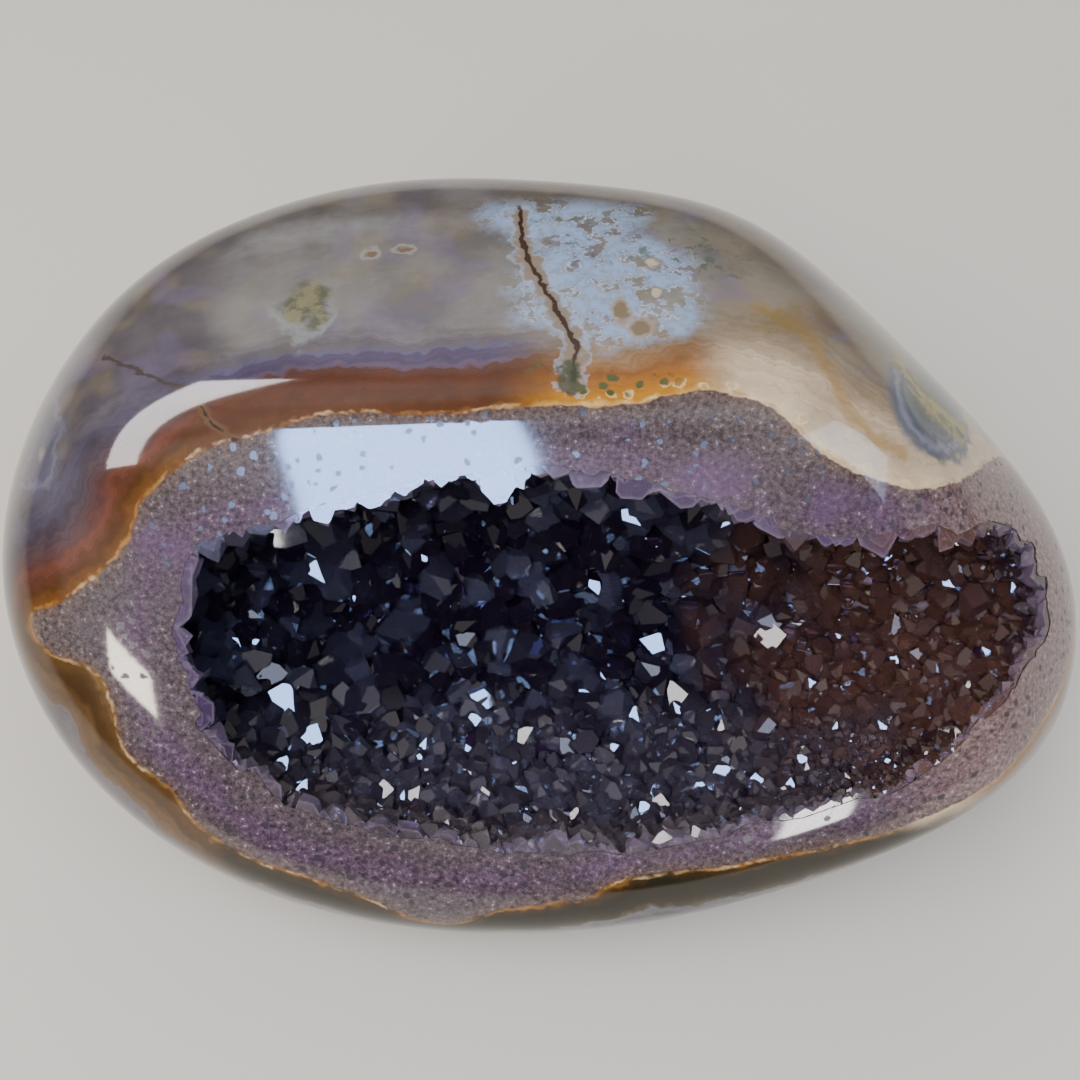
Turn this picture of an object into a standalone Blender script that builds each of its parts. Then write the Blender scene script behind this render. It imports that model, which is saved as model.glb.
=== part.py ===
"""A polished geode half: an agate stone, ground all over, with one ground face that opens on a hollow
lined with amethyst crystals. It rests on a ground flat, with the hollow looking forward and up.
"""

import math

import bmesh
import bpy
import numpy as np

MM = 0.001

# The front face is ground flat and looks towards -Y and up. Shapes are set out on its own axes,
# right (+X), up the face and out of it, from the stone's middle.
FACE_LOOKS_UP = math.radians(52)
STONE_MIDDLE = np.array((0, 0, 33)) * MM
FACE_AXES = np.array((
    (1, 0, 0),
    (0, math.sin(FACE_LOOKS_UP), math.cos(FACE_LOOKS_UP)),
    (0, -math.cos(FACE_LOOKS_UP), math.sin(FACE_LOOKS_UP)),
))

# The nodule was an egg. These are its reaches from the stone's middle, and its slight tilt on the face.
EGG_TILT = math.radians(-4)
EGG_RIGHT, EGG_LEFT = 79 * MM, 70.5 * MM
EGG_UP, EGG_DOWN = 54 * MM, 57.5 * MM
EGG_FRONT, EGG_BACK = 41 * MM, 41 * MM
EGG_FULLNESS = 2.35

# The wheel took off these facets: azimuth from the front and elevation in degrees, and distance from the middle.
GROUND_FACETS = (
    (0, 52, 26 * MM),
    (188, 80, 28.5 * MM),
    (172, 42, 45 * MM),
    (208, 34, 54.5 * MM),
    (122, 46, 46 * MM),
    (127, 22, 56 * MM),
    (72, 44, 51.5 * MM),
    (-108, 44, 58 * MM),
    (23, -28, 59.5 * MM),
    (0, -90, 35 * MM),
)
EDGE_SHARPNESS = 12

# The mouth of the hollow in the stone, right and up on the face, anticlockwise from its right end
MOUTH = np.array((
    (67, -13), (63.5, -2), (53, 1.5), (33, 2), (11, 8), (-12, 7.5), (-30, 3.5), (-43, -1.5),
    (-47.5, -15), (-43.5, -27), (-32, -37.5), (-13, -42.5), (8.5, -41), (31, -36), (49, -31), (61.5, -23),
)) * MM

# The hollow behind the mouth: an egg about its own middle, which opens out to the mouth near the face
HOLLOW_MIDDLE = np.array((6, -14, 10)) * MM
HOLLOW_RIGHT, HOLLOW_LEFT = 50 * MM, 54 * MM
HOLLOW_UP, HOLLOW_DOWN = 26 * MM, 22 * MM
HOLLOW_DEEP = 25 * MM
OPENS_FROM = 0.5

# The crystal crust: how far its back and its crystals' feet stand inside the hollow's wall
CRUST_BACK = 0.9 * MM
CRUST_FRONT = 3.4 * MM
CRYSTALS = 700
LARGEST_ROOM, SMALLEST_ROOM = 2.6 * MM, 0.8 * MM
CRYSTAL_STEEPNESS = 1.1
CRYSTAL_LEAN = 0.3
SEED = 11

# How finely the two shells are made
STONE_SEGMENTS = 72
HOLLOW_ROWS, OUTSIDE_ROWS = 11, 27
RIM_POINTS = 66
BACK_POINTS = 90
CRUST_EGG = np.array((50, 24, 25)) * MM
RIM_ANGLE = math.radians(124)
RIM_BAND = math.radians(7)
SEED_POINT, INNER_RIM, OUTER_RIM, BACK_POINT, CELL_CORNER = 1, 2, 3, 4, 5


def looking(azimuth, elevation):
    """The unit vector at an azimuth from the front (-Y) towards +X and an elevation, on the face's axes."""
    a, e = math.radians(azimuth), math.radians(elevation)
    return FACE_AXES @ (math.sin(a) * math.cos(e), -math.cos(a) * math.cos(e), math.sin(e))


def placed(points):
    """World places of points on the face's axes."""
    return STONE_MIDDLE + points @ FACE_AXES


def smooth(x):
    """0 below 0, 1 above 1, and a soft step between."""
    x = np.clip(x, 0, 1)
    return x * x * (3 - 2 * x)


def size_share(points):
    """1 on the polished surface, less inside: the egg and its ground facets, run together with soft edges."""
    right, up, out = points.T
    along = right * math.cos(EGG_TILT) + up * math.sin(EGG_TILT)
    across = up * math.cos(EGG_TILT) - right * math.sin(EGG_TILT)
    egg = np.abs(along / np.where(along > 0, EGG_RIGHT, EGG_LEFT)) ** EGG_FULLNESS
    egg += np.abs(across / np.where(across > 0, EGG_UP, EGG_DOWN)) ** EGG_FULLNESS
    egg += np.abs(out / np.where(out > 0, EGG_FRONT, EGG_BACK)) ** EGG_FULLNESS
    total = egg ** (EDGE_SHARPNESS / EGG_FULLNESS)
    for azimuth, elevation, distance in GROUND_FACETS:
        reach = points @ looking(azimuth, elevation) / distance
        total += np.maximum(reach, 0) ** EDGE_SHARPNESS
    return total ** (1 / EDGE_SHARPNESS)


def surface_from(start, ways):
    """Where rays from points inside the stone meet its polished surface."""
    near = np.zeros(len(ways))
    far = np.full(len(ways), 200 * MM)
    for _ in range(34):
        middle = (near + far) / 2
        inside = size_share(start + ways * middle[:, None]) < 1
        near = np.where(inside, middle, near)
        far = np.where(inside, far, middle)
    return start + ways * near[:, None]


def surface_over(right_up):
    """The polished surface in front of places given by right and up."""
    start = np.column_stack((right_up, np.full(len(right_up), -8 * MM)))
    return surface_from(start, np.tile((0.0, 0.0, 1.0), (len(start), 1)))


def mouth_outline(turn):
    """The mouth's right and up at an angle, by a smooth closed curve through MOUTH."""
    station = turn / math.tau * len(MOUTH)
    k = np.floor(station).astype(int)
    x = (station - k)[:, None]
    before, here, after, later = (MOUTH[(k + i) % len(MOUTH)] for i in (-1, 0, 1, 2))
    return (
        here * (1 + 2 * x) * (1 - x) ** 2
        + (after - before) / 2 * x * (1 - x) ** 2
        + after * x * x * (3 - 2 * x)
        + (later - here) / 2 * x * x * (x - 1)
    )


def mouth_point(turn, inset):
    """The mouth's edge on the polished surface, brought in towards the opening by inset."""
    forward = mouth_outline(turn + 0.02) - mouth_outline(turn - 0.02)
    inward = np.column_stack((-forward[:, 1], forward[:, 0]))
    inward /= np.linalg.norm(inward, axis=1, keepdims=True)
    return surface_over(mouth_outline(turn) + inward * inset)


def hollow_point(turn, rise, inset):
    """The hollow's wall, brought in by inset, from its deepest point (rise is 0) to the mouth's edge (1)."""
    right, up, out = (mouth_point(turn, inset) - HOLLOW_MIDDLE).T
    across = np.where(right > 0, HOLLOW_RIGHT, HOLLOW_LEFT) - inset
    along = np.where(up > 0, HOLLOW_UP, HOLLOW_DOWN) - inset
    deep = HOLLOW_DEEP - inset
    edge_angle = np.arctan2(np.hypot(right / across, up / along), -out / deep)
    edge_share = np.sqrt((right / across) ** 2 + (up / along) ** 2 + (out / deep) ** 2)
    azimuth = np.arctan2(up / along, right / across)
    share = 1 + (edge_share - 1) * smooth((rise - OPENS_FROM) / (1 - OPENS_FROM))
    angle = edge_angle * rise
    return HOLLOW_MIDDLE + np.column_stack((
        across * share * np.sin(angle) * np.cos(azimuth),
        along * share * np.sin(angle) * np.sin(azimuth),
        -deep * share * np.cos(angle),
    ))


def hollow_normal(turn, rise, inset):
    """The unit vectors out of the hollow's wall, into the hollow."""
    rise = np.clip(rise, 0.03, 0.98)
    across = hollow_point(turn + 0.02, rise, inset) - hollow_point(turn - 0.02, rise, inset)
    upward = hollow_point(turn, rise + 0.02, inset) - hollow_point(turn, rise - 0.02, inset)
    normal = np.cross(upward, across)
    return normal / np.linalg.norm(normal, axis=1, keepdims=True)


OUTSIDE_HUB = np.array((8, -14, -4)) * MM
OUTSIDE_PROPORTIONS = np.array((72, 52, 36)) * MM


def outside_point(turn, down):
    """The polished surface, from the mouth's edge (down is 0) round to the back of the stone (1)."""
    right, up, out = ((mouth_point(turn, 0) - OUTSIDE_HUB) / OUTSIDE_PROPORTIONS).T
    edge_angle = np.arctan2(np.hypot(right, up), out)
    edge_azimuth = np.arctan2(up, right)
    gap = (turn - edge_azimuth + math.pi) % math.tau - math.pi
    azimuth = edge_azimuth + gap * smooth(down)
    angle = edge_angle + (math.pi - edge_angle) * down
    ways = np.column_stack((
        np.sin(angle) * np.cos(azimuth),
        np.sin(angle) * np.sin(azimuth),
        np.cos(angle),
    )) * OUTSIDE_PROPORTIONS
    ways /= np.linalg.norm(ways, axis=1, keepdims=True)
    return surface_from(OUTSIDE_HUB, ways)


def sphere_angles(points):
    """The angles from +Z and about Z of points on a sphere."""
    across, along, up = points.T
    return np.arctan2(np.hypot(across, along), up), np.arctan2(along, across)


def places(mesh_data):
    """The vertices' places as an array."""
    return np.array([v.co[:] for v in mesh_data.verts])


def move(mesh_data, points):
    """Moves every vertex to its row of points."""
    for vert, point in zip(mesh_data.verts, points):
        vert.co = point


def finished(name, mesh_data, colour, roughness, collection):
    """Puts a closed bmesh in the scene as one named piece with its own material."""
    mesh = bpy.data.meshes.new(name)
    mesh_data.normal_update()
    mesh_data.to_mesh(mesh)
    mesh_data.free()
    piece = bpy.data.objects.new(name, mesh)
    collection.objects.link(piece)
    material = bpy.data.materials.new(name)
    material.use_nodes = True
    shader = material.node_tree.nodes["Principled BSDF"]
    shader.inputs["Base Color"].default_value = (*colour, 1)
    shader.inputs["Roughness"].default_value = roughness
    shader.inputs["Metallic"].default_value = 0.0
    mesh.materials.append(material)
    return piece


def agate_stone(collection):
    """The stone. A sphere's first rows are pushed in to line the hollow, and the others make the outside."""
    rows = HOLLOW_ROWS + OUTSIDE_ROWS
    stone = bmesh.new()
    bmesh.ops.create_uvsphere(stone, u_segments=STONE_SEGMENTS, v_segments=rows, radius=1)
    angle, turn = sphere_angles(places(stone))
    edge = math.pi * HOLLOW_ROWS / rows
    inner = hollow_point(turn, np.minimum(angle / edge, 1), 0)
    outer = outside_point(turn, np.clip((angle - edge) / (math.pi - edge), 0, 1))
    move(stone, placed(np.where((angle <= edge + 1e-4)[:, None], inner, outer)))

    # The flat that it rests on
    whole = stone.verts[:] + stone.edges[:] + stone.faces[:]
    bmesh.ops.bisect_plane(stone, geom=whole, dist=1e-7, plane_co=(0, 0, 0), plane_no=(0, 0, 1), clear_inner=True)
    bmesh.ops.contextual_create(stone, geom=[e for e in stone.edges if e.is_boundary])
    piece = finished("agate_stone", stone, (0.30, 0.25, 0.23), 0.12, collection)
    piece.data.shade_smooth()
    piece.data.set_sharp_from_angle(angle=math.radians(35))


def rim_ring(angle):
    """Evenly spaced points round the crust's starting egg, at an angle from its deepest point."""
    fine = np.linspace(0, math.tau, 721)
    outline = np.column_stack((np.cos(fine), np.sin(fine))) * CRUST_EGG[:2]
    length = np.concatenate(((0,), np.cumsum(np.linalg.norm(np.diff(outline, axis=0), axis=1))))
    turns = np.interp(np.arange(RIM_POINTS) * length[-1] / RIM_POINTS, length, fine)
    across = np.column_stack((np.cos(turns), np.sin(turns))) * math.sin(angle)
    return np.column_stack((across, np.full(RIM_POINTS, math.cos(angle)))) * CRUST_EGG


def spread(chance, count, lowest, highest, rim, largest, smallest):
    """Well-spaced points on the crust's starting egg, between two angles and clear of a rim.

    The first ones keep more room about them than the last."""
    points, rooms = list(rim), [0.0] * len(rim)
    for room in np.linspace(largest, smallest, count):
        best, best_gap = None, -1.0
        while best is None:
            for way in chance.normal(size=(14, 3)):
                way /= np.linalg.norm(way)
                thin = np.linalg.norm(way / CRUST_EGG) * CRUST_EGG.min()
                if chance.random() > thin or not lowest < math.acos(way[2]) < highest:
                    continue
                gap = np.min(np.linalg.norm(np.array(points) - way * CRUST_EGG, axis=1) - rooms)
                if gap > best_gap:
                    best, best_gap = way * CRUST_EGG, gap
        points.append(best)
        rooms.append(room)
    return points[len(rim):]


def crust_egg(chance):
    """The crust's starting egg: many-sided cells up to its rim, and plain triangles beyond."""
    rims = rim_ring(RIM_ANGLE), rim_ring(RIM_ANGLE + RIM_BAND)
    seeds = spread(chance, CRYSTALS, 0, RIM_ANGLE - 0.07, rims[0], LARGEST_ROOM, SMALLEST_ROOM)
    backs = spread(chance, BACK_POINTS, RIM_ANGLE + RIM_BAND + 0.12, math.pi, rims[1], 0, 0)
    egg = bmesh.new()
    kind = egg.verts.layers.int.new("kind")
    for points, value in ((seeds, SEED_POINT), (rims[0], INNER_RIM), (rims[1], OUTER_RIM), (backs, BACK_POINT)):
        for point in points:
            egg.verts.new(point)[kind] = value
    bmesh.ops.convex_hull(egg, input=egg.verts[:])
    bmesh.ops.triangulate(egg, faces=egg.faces[:])

    # The triangles round each seed become its one cell
    spokes = [e for e in egg.edges if any(v[kind] == SEED_POINT for v in e.verts)]
    seeded = [f for f in egg.faces if any(v[kind] == SEED_POINT for v in f.verts)]
    for vert in bmesh.ops.poke(egg, faces=seeded)["verts"]:
        vert[kind] = CELL_CORNER
    bmesh.ops.rotate_edges(egg, edges=spokes)
    bmesh.ops.dissolve_verts(egg, verts=[v for v in egg.verts if v[kind] == SEED_POINT])
    return egg, kind


def amethyst_crust(collection):
    """The crust: one shell in the hollow, with a crystal point on each of its cells."""
    chance = np.random.default_rng(SEED)
    crust, kind = crust_egg(chance)
    kinds = np.array([v[kind] for v in crust.verts])
    on_egg = places(crust) / CRUST_EGG
    angle, turn = sphere_angles(on_egg)
    at_front = (kinds == CELL_CORNER) | (kinds == INNER_RIM)
    rise = np.where(at_front, angle / RIM_ANGLE, (math.pi - angle) / (math.pi - RIM_ANGLE - RIM_BAND))
    rise = np.where((kinds == INNER_RIM) | (kinds == OUTER_RIM), 1, np.clip(rise, 0, 1))
    front = hollow_point(turn, rise, CRUST_FRONT)
    back = hollow_point(turn, rise, CRUST_BACK)
    shell = np.where(at_front[:, None], front, back)

    # Each crystal stands on its cell, square to the wall or leaning a little, and is ground off at the face
    cells = [f for f in crust.faces if all(v[kind] == CELL_CORNER for v in f.verts)]
    members = [[v.index for v in f.verts] for f in cells]
    middles = np.array([on_egg[m].mean(axis=0) for m in members])
    feet = np.array([shell[m].mean(axis=0) for m in members])
    widths = np.array([np.linalg.norm(shell[m] - foot, axis=1).mean() for m, foot in zip(members, feet)])
    angle, turn = sphere_angles(middles)
    heights = widths * CRYSTAL_STEEPNESS * chance.uniform(0.8, 1.45, len(cells))
    leans = chance.uniform(-1, 1, (len(cells), 3)) * widths[:, None] * CRYSTAL_LEAN
    tips = feet + hollow_normal(turn, angle / RIM_ANGLE, CRUST_FRONT) * heights[:, None] + leans
    tips = np.where((size_share(tips) > 1)[:, None], surface_over(tips[:, :2]), tips)

    move(crust, placed(shell))
    for cell, tip in zip(cells, placed(tips)):
        bmesh.ops.poke(crust, faces=[cell])["verts"][0].co = tip
    piece = finished("amethyst_crust", crust, (0.05, 0.02, 0.08), 0.08, collection)
    piece.data.shade_flat()


def main():
    for old in list(bpy.data.objects):
        bpy.data.objects.remove(old)
    geode = bpy.data.collections.new("geode_half")
    bpy.context.scene.collection.children.link(geode)
    agate_stone(geode)
    amethyst_crust(geode)


main()
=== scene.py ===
"""The looks of a polished geode half: an agate stone whose ground face opens on a hollow of dark amethyst."""

import math
from collections import namedtuple

import bmesh
import bpy
import numpy as np
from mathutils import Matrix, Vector
from mathutils.kdtree import KDTree


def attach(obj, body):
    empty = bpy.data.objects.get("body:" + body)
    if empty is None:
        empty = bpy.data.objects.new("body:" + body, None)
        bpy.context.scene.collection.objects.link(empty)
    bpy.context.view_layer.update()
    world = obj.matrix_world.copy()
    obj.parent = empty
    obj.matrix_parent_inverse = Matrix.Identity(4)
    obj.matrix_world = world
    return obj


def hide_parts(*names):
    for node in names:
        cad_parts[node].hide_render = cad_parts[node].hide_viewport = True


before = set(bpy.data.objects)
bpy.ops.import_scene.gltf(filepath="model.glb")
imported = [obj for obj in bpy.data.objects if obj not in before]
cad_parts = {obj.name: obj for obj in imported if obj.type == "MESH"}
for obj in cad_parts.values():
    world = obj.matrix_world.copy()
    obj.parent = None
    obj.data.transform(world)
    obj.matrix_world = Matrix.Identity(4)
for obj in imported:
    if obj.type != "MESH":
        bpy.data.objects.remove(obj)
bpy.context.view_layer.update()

# The agate stone
#
# A nodule of banded agate with a lining of quartz, ground all over into broad soft facets and polished on
# a felt wheel. The ground front face cuts the quartz lining, which shows as a mauve ring round the hollow.
# Its shape is set out on the front face's own axes: right, up the face and out of it.

MM = 0.001
FACE_LOOKS_UP = math.radians(52)
STONE_MIDDLE = np.array((0, 0, 33)) * MM
FACE_AXES = np.array((
    (1, 0, 0),
    (0, math.sin(FACE_LOOKS_UP), math.cos(FACE_LOOKS_UP)),
    (0, -math.cos(FACE_LOOKS_UP), math.sin(FACE_LOOKS_UP)),
))
EGG_TILT = math.radians(-4)
EGG_RIGHT, EGG_LEFT = 79 * MM, 70.5 * MM
EGG_UP, EGG_DOWN = 54 * MM, 57.5 * MM
EGG_DEPTH = 41 * MM
EGG_FULLNESS = 2.35

# The ground facets: azimuth from the front and elevation in degrees, and distance from the middle
GROUND_FACETS = (
    (0, 52, 26 * MM),
    (188, 80, 28.5 * MM),
    (172, 42, 45 * MM),
    (208, 34, 54.5 * MM),
    (122, 46, 46 * MM),
    (127, 22, 56 * MM),
    (72, 44, 51.5 * MM),
    (-108, 44, 58 * MM),
    (23, -28, 59.5 * MM),
    (0, -90, 35 * MM),
)
EDGE_SHARPNESS = 12
POLISHED_AT = 0.996

# The hollow's mouth, and the line where the quartz lining meets the agate, as right and up on the face,
# both anticlockwise from the right end
MOUTH = np.array((
    (67, -13), (63.5, -2), (53, 1.5), (33, 2), (11, 8), (-12, 7.5), (-30, 3.5), (-43, -1.5),
    (-47.5, -15), (-43.5, -27), (-32, -37.5), (-13, -42.5), (8.5, -41), (31, -36), (49, -31), (61.5, -23),
)) * MM
AGATE_EDGE = np.array((
    (73.6, -12), (71.5, -3), (66.5, 4), (60.7, 7.4), (51.5, 5.9), (44.5, 5.3), (38.9, 6.6), (34.1, 8.9), (30.6, 11.8),
    (27, 15), (19.1, 16.6), (10, 15), (0, 14.8), (-12, 13.8), (-24, 13.8), (-34, 11), (-39, 9.5),
    (-43.6, 6), (-46, 3.7), (-47.5, -0.4), (-51.1, -4.6), (-56.3, -8.3), (-60.9, -10.6), (-59, -14.8),
    (-53, -16.7), (-50.8, -20.4), (-49.5, -27), (-44.3, -31.7), (-41.5, -36), (-35.2, -40.6), (-29, -42.6),
    (-20, -46.4), (-15, -49.2), (-10, -49.8), (-5, -47.6), (1, -46.4), (6.6, -45.4), (10, -43), (16, -42),
    (24, -41.2), (33, -39.4), (42, -37.6), (50, -34.8), (57, -31.4), (64, -25.5), (70, -19.5),
)) * MM
HOLLOW_MIDDLE = np.array((6, -14, 10)) * MM
HOLLOW_RIGHT, HOLLOW_LEFT = 50 * MM, 54 * MM
HOLLOW_UP, HOLLOW_DOWN = 26 * MM, 22 * MM
HOLLOW_DEEP = 25 * MM
OPENS_FROM = 0.5
OUTSIDE_HUB = np.array((8, -14, -4)) * MM
OUTSIDE_PROPORTIONS = np.array((72, 52, 36)) * MM
MOST_INSET = 1.7 * MM
STONE_SEGMENTS = 420
ONCE_ROUND = np.linspace(0, math.tau, 1680, endpoint=False)
HOLLOW_ROWS, OUTSIDE_ROWS = 24, 160


def looking(azimuth, elevation):
    """The unit vector at an azimuth from the front (-Y) towards +X and an elevation, on the face's axes."""
    a, e = math.radians(azimuth), math.radians(elevation)
    return FACE_AXES @ (math.sin(a) * math.cos(e), -math.cos(a) * math.cos(e), math.sin(e))


def placed(points):
    """World places of points on the face's axes."""
    return STONE_MIDDLE + points @ FACE_AXES


def smooth(x):
    """0 below 0, 1 above 1, and a soft step between."""
    x = np.clip(x, 0, 1)
    return x * x * (3 - 2 * x)


def size_share(points):
    """1 on the polished surface, less inside: the egg and its ground facets, run together with soft edges."""
    right, up, out = points.T
    along = right * math.cos(EGG_TILT) + up * math.sin(EGG_TILT)
    across = up * math.cos(EGG_TILT) - right * math.sin(EGG_TILT)
    egg = np.abs(along / np.where(along > 0, EGG_RIGHT, EGG_LEFT)) ** EGG_FULLNESS
    egg += np.abs(across / np.where(across > 0, EGG_UP, EGG_DOWN)) ** EGG_FULLNESS
    egg += np.abs(out / EGG_DEPTH) ** EGG_FULLNESS
    total = egg ** (EDGE_SHARPNESS / EGG_FULLNESS)
    for azimuth, elevation, distance in GROUND_FACETS:
        reach = points @ looking(azimuth, elevation) / distance
        total += np.maximum(reach, 0) ** EDGE_SHARPNESS
    return total ** (1 / EDGE_SHARPNESS)


def surface_from(start, ways):
    """Where rays from points inside the stone meet its polished surface."""
    near = np.zeros(len(ways))
    far = np.full(len(ways), 130 * MM)
    for _ in range(20):
        middle = (near + far) / 2
        inside = size_share(start + ways * middle[:, None]) < POLISHED_AT
        near = np.where(inside, middle, near)
        far = np.where(inside, far, middle)
    return start + ways * near[:, None]


def surface_over(right_up):
    """The polished surface in front of places given by right and up."""
    start = np.column_stack((right_up, np.full(len(right_up), -8 * MM)))
    return surface_from(start, np.tile((0.0, 0.0, 1.0), (len(start), 1)))


def surface_normal(points):
    """The unit vectors out of the polished surface."""
    step = 0.02 * MM * np.eye(3)
    normal = np.stack([size_share(points + s) - size_share(points - s) for s in step], axis=1)
    return normal / np.linalg.norm(normal, axis=1, keepdims=True)


def closed_curve(stations, turn):
    """A smooth closed curve through stations, which a turn of 0 to 2 pi goes round once."""
    station = turn / math.tau * len(stations)
    k = np.floor(station).astype(int)
    x = (station - k)[:, None]
    before, here, after, later = (stations[(k + i) % len(stations)] for i in (-1, 0, 1, 2))
    return (
        here * (1 + 2 * x) * (1 - x) ** 2
        + (after - before) / 2 * x * (1 - x) ** 2
        + after * x * x * (3 - 2 * x)
        + (later - here) / 2 * x * x * (x - 1)
    )


def round_at(line, turn):
    """A point of a closed line of evenly turned points, at a turn."""
    stations = np.linspace(0, math.tau, len(line), endpoint=False)
    return np.column_stack([np.interp(turn, stations, part, period=math.tau) for part in line.T])


def mouth_line(inset):
    """The mouth's edge on the polished surface, brought in towards the opening by inset."""
    forward = closed_curve(MOUTH, ONCE_ROUND + 0.02) - closed_curve(MOUTH, ONCE_ROUND - 0.02)
    inward = np.column_stack((-forward[:, 1], forward[:, 0]))
    inward /= np.linalg.norm(inward, axis=1, keepdims=True)
    return surface_over(closed_curve(MOUTH, ONCE_ROUND) + inward * np.reshape(inset, (-1, 1)))


def hollow_point(turn, rise, line, inset):
    """The hollow's wall, brought in by inset, from its deepest point (rise is 0) to the mouth's line (1)."""
    right, up, out = (round_at(line, turn) - HOLLOW_MIDDLE).T
    across = np.where(right > 0, HOLLOW_RIGHT, HOLLOW_LEFT) - inset
    along = np.where(up > 0, HOLLOW_UP, HOLLOW_DOWN) - inset
    deep = HOLLOW_DEEP - inset
    edge_angle = np.arctan2(np.hypot(right / across, up / along), -out / deep)
    edge_share = np.sqrt((right / across) ** 2 + (up / along) ** 2 + (out / deep) ** 2)
    azimuth = np.arctan2(up / along, right / across)
    share = 1 + (edge_share - 1) * smooth((rise - OPENS_FROM) / (1 - OPENS_FROM))
    angle = edge_angle * rise
    return HOLLOW_MIDDLE + np.column_stack((
        across * share * np.sin(angle) * np.cos(azimuth),
        along * share * np.sin(angle) * np.sin(azimuth),
        -deep * share * np.cos(angle),
    ))


def hub_angles(points):
    """Azimuth, and angle from straight out of the face, about the point that the outside is laid out from."""
    right, up, out = ((points - OUTSIDE_HUB) / OUTSIDE_PROPORTIONS).T
    return np.arctan2(up, right), np.arctan2(np.hypot(right, up), out)


def outside_point(turn, down, line):
    """The polished surface, from the mouth's edge (down is 0) round to the back of the stone (1)."""
    edge_azimuth, edge_angle = hub_angles(round_at(line, turn))
    gap = (turn - edge_azimuth + math.pi) % math.tau - math.pi
    azimuth = edge_azimuth + gap * smooth(down)
    angle = edge_angle + (math.pi - edge_angle) * down
    ways = np.column_stack((
        np.sin(angle) * np.cos(azimuth),
        np.sin(angle) * np.sin(azimuth),
        np.cos(angle),
    )) * OUTSIDE_PROPORTIONS
    ways /= np.linalg.norm(ways, axis=1, keepdims=True)
    return surface_from(OUTSIDE_HUB, ways)


def ragged_line(turn, chance, corners, lowest, highest):
    """The height at a turn of a closed line that runs straight between corners at random turns and heights."""
    stations = np.sort(chance.uniform(0, math.tau, corners))
    return np.interp(turn, stations, chance.uniform(lowest, highest, corners), period=math.tau)


def lip(turn):
    """How far the quartz stands inside the mouth's edge. It is wider at the lower left and the lower right, and
    ends in the sides and corners of the crystals that were ground off."""
    chance = np.random.default_rng(11)
    ragged = ragged_line(turn, chance, 64, 0.9, 2.6) + ragged_line(turn, chance, 190, -0.4, 0.4)
    station = turn / math.tau * len(MOUTH)
    lower_left = 3.6 * smooth((station - 6.6) / 1.4) * smooth((12.2 - station) / 1.6)
    lower_right = 2.8 * smooth((station - 13.5) / 0.8) * smooth((15.9 - station) / 0.7)
    return (ragged + lower_left + lower_right) * MM


def gap_to(points, line):
    """The distance from each point to the nearest of a line's points."""
    tree = KDTree(len(line))
    for k, place in enumerate(line):
        tree.insert(place, k)
    tree.balance()
    return np.array([tree.find(p)[2] for p in points])


def coordinates(mesh):
    """A mesh's vertices as an array."""
    places = np.empty(len(mesh.vertices) * 3)
    mesh.vertices.foreach_get("co", places)
    return places.reshape(-1, 3)


def add_numbers(mesh, name, numbers):
    """Keeps one number for each vertex, for the material to read."""
    mesh.attributes.new(name, "FLOAT", "POINT").data.foreach_set("value", np.asarray(numbers, dtype=float))


def beside_line(points, stations):
    """How far points are from a line through stations in mm, looking square at the face: in all, and sideways."""
    at = points[:, :2] / MM
    far, side = np.full(len(at), 1e3), np.zeros(len(at))
    for start, end in zip(stations, stations[1:]):
        way, away = np.subtract(end, start), at - start
        long = np.linalg.norm(way)
        gap = np.linalg.norm(away - np.clip(away @ way / long**2, 0, 1)[:, None] * way, axis=1)
        side = np.where(gap < far, away @ (-way[1], way[0]) / long, side)
        far = np.minimum(gap, far)
    return far, side


rows = HOLLOW_ROWS + OUTSIDE_ROWS
ball = bmesh.new()
bmesh.ops.create_uvsphere(ball, u_segments=STONE_SEGMENTS, v_segments=rows, radius=1)
stone_mesh = bpy.data.meshes.new("polished_stone")
ball.to_mesh(stone_mesh)
ball.free()
across, along, up = coordinates(stone_mesh).T
from_top, turn = np.arctan2(np.hypot(across, along), up), np.arctan2(along, across)
edge = math.pi * HOLLOW_ROWS / rows
in_hollow = from_top <= edge + 1e-4
lip_line = mouth_line(lip(ONCE_ROUND))
stone_points = np.where(
    in_hollow[:, None],
    hollow_point(turn, np.minimum(from_top / edge, 1), lip_line, np.minimum(lip(turn), MOST_INSET)),
    outside_point(turn, np.clip((from_top - edge) / (math.pi - edge), 0, 1), lip_line),
)
stone_mesh.vertices.foreach_set("co", placed(stone_points).ravel())

agate_edge = surface_over(closed_curve(AGATE_EDGE, np.linspace(0, math.tau, 5000, endpoint=False)))
mouth_edge = mouth_line(0)
edge_azimuth, edge_angle = hub_angles(agate_edge)
azimuth, angle = hub_angles(stone_points)
order = np.argsort(edge_azimuth)
outside_edge = angle > np.interp(azimuth, edge_azimuth[order], edge_angle[order], period=math.tau)
into_agate = gap_to(stone_points, agate_edge) * np.where(outside_edge & ~in_hollow, 1, -1)
add_numbers(stone_mesh, "into_agate", into_agate / MM)
add_numbers(stone_mesh, "from_mouth", gap_to(stone_points, mouth_edge) / MM)
add_numbers(stone_mesh, "in_hollow", in_hollow & (from_top < edge - 1e-4))

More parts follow.
